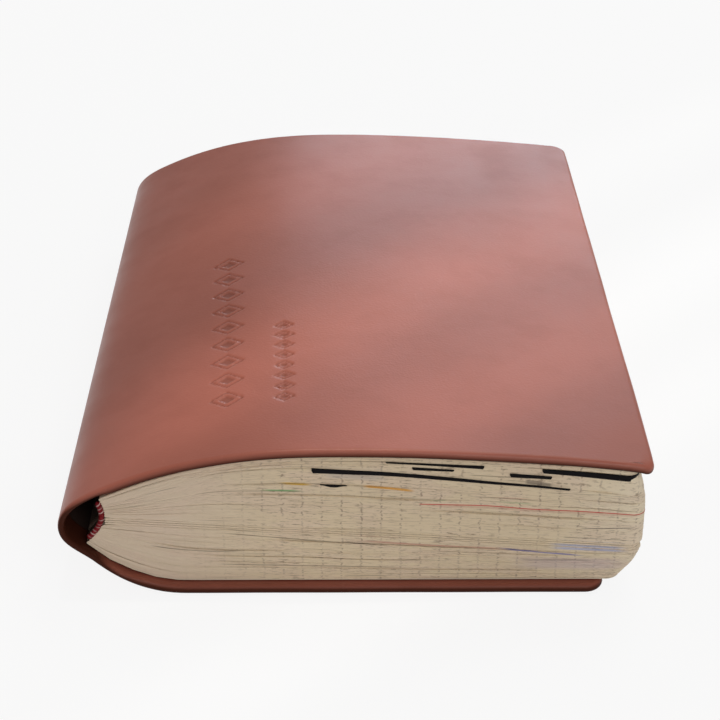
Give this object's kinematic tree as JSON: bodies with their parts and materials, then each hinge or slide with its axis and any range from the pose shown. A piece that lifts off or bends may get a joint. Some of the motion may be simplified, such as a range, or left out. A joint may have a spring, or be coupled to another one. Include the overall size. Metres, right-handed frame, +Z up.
{
  "type": "stamp album",
  "caption": "Closed soft-cover stamp album: padded leatherette cover on a loose hollow spine, sewn gridded leaves, headbands, black mount strips and hinged covers and leaves.",
  "frame": {"origin": "middle of the closed album's footprint, on the surface it lies on", "axes": "+X from the spine to the fore-edge, +Y from the tail to the head, +Z up through the closed album"},
  "size_m": [0.15, 0.212, 0.0434],
  "materials": {
    "cover_leatherette": "smooth padded leatherette, terracotta brown, soft sheen",
    "foam": "thin soft foam",
    "card": "grey-brown flexible card",
    "endpaper": "plain cream paper",
    "leaf_paper": "uncoated cream paper with a five millimetre grid",
    "spine_lining": "dark brown lining paper",
    "gauze": "open cotton gauze stiffened with glue",
    "headband": "red and white silk over a cord",
    "thread": "white linen thread",
    "black_mount": "black film stamp mount",
    "stamp_paper": "printed paper with perforated edges"
  },
  "bodies": {
    "back_cover": {"back_cover_leather": "cover_leatherette", "back_cover_foam": "foam", "back_cover_board": "card", "back_pastedown": "endpaper"},
    "lower_leaves": {"back_flyleaf": "endpaper", "section_01": "leaf_paper", "section_02": "leaf_paper", "section_03": "leaf_paper", "section_04": "leaf_paper", "section_05": "leaf_paper", "section_06": "leaf_paper", "section_07": "leaf_paper", "section_08": "leaf_paper", "sewing_thread_lower": "thread", "mull": "gauze", "headband_head": "headband", "headband_tail": "headband", "spine_leather": "cover_leatherette", "spine_lining": "spine_lining", "stamp_mounts_lower": "black_mount", "stamps_lower": "stamp_paper"},
    "turning_leaf_low": {"turning_leaf_low": "leaf_paper"},
    "turning_leaf_mid": {"turning_leaf_mid": "leaf_paper"},
    "turning_leaf_high": {"turning_leaf_high": "leaf_paper"},
    "upper_leaves": {"section_09": "leaf_paper", "section_10": "leaf_paper", "section_11": "leaf_paper", "section_12": "leaf_paper", "section_13": "leaf_paper", "section_14": "leaf_paper", "section_15": "leaf_paper", "section_16": "leaf_paper", "sewing_thread_upper": "thread", "black_mount_strips": "black_mount", "stamp_mounts_upper": "black_mount", "stamps_upper": "stamp_paper"},
    "front_flyleaf": {"front_flyleaf": "endpaper"},
    "front_cover": {"front_cover_leather": "cover_leatherette", "front_cover_foam": "foam", "front_cover_board": "card", "front_pastedown": "endpaper"}
  },
  "joints": [
    {"name": "back_cover_hinge", "type": "hinge", "parent": "back_cover", "child": "lower_leaves", "pos_m": [-0.053, 0, 0.00155], "axis": [0, 1, 0], "range_deg": [-35, 0], "deforming": ["spine_leather", "spine_lining", "mull"]},
    {"name": "centre_fold", "type": "hinge", "parent": "lower_leaves", "child": "upper_leaves", "pos_m": [-0.06338, 0, 0.02241], "axis": [0, 1, 0], "range_deg": [-75, 0], "deforming": ["spine_leather", "spine_lining", "mull", "headband_head", "headband_tail"]},
    {"name": "front_cover_hinge", "type": "hinge", "parent": "upper_leaves", "child": "front_cover", "pos_m": [-0.061, 0, 0.03317], "axis": [0, -1, 0], "range_deg": [0, 182], "deforming": ["spine_leather", "spine_lining", "mull"]},
    {"name": "front_flyleaf_fold", "type": "hinge", "parent": "upper_leaves", "child": "front_flyleaf", "pos_m": [-0.05883, 0, 0.0309], "axis": [0, -1, 0], "range_deg": [0, 36.4]},
    {"name": "turning_leaf_low_fold", "type": "hinge", "parent": "lower_leaves", "child": "turning_leaf_low", "pos_m": [-0.06325, 0, 0.0206], "axis": [0, 1, 0], "range_deg": [-18.75, 0]},
    {"name": "turning_leaf_mid_fold", "type": "hinge", "parent": "lower_leaves", "child": "turning_leaf_mid", "pos_m": [-0.06321, 0, 0.02125], "axis": [0, 1, 0], "range_deg": [-37.5, 0]},
    {"name": "turning_leaf_high_fold", "type": "hinge", "parent": "lower_leaves", "child": "turning_leaf_high", "pos_m": [-0.06317, 0, 0.02189], "axis": [0, 1, 0], "range_deg": [-56.25, 0]}
  ],
  "couplings": [
    {"joint": "front_flyleaf_fold", "follows": "front_cover_hinge", "ratio": 0.2},
    {"joint": "turning_leaf_low_fold", "follows": "centre_fold", "ratio": 0.25},
    {"joint": "turning_leaf_mid_fold", "follows": "centre_fold", "ratio": 0.5},
    {"joint": "turning_leaf_high_fold", "follows": "centre_fold", "ratio": 0.75}
  ]
}
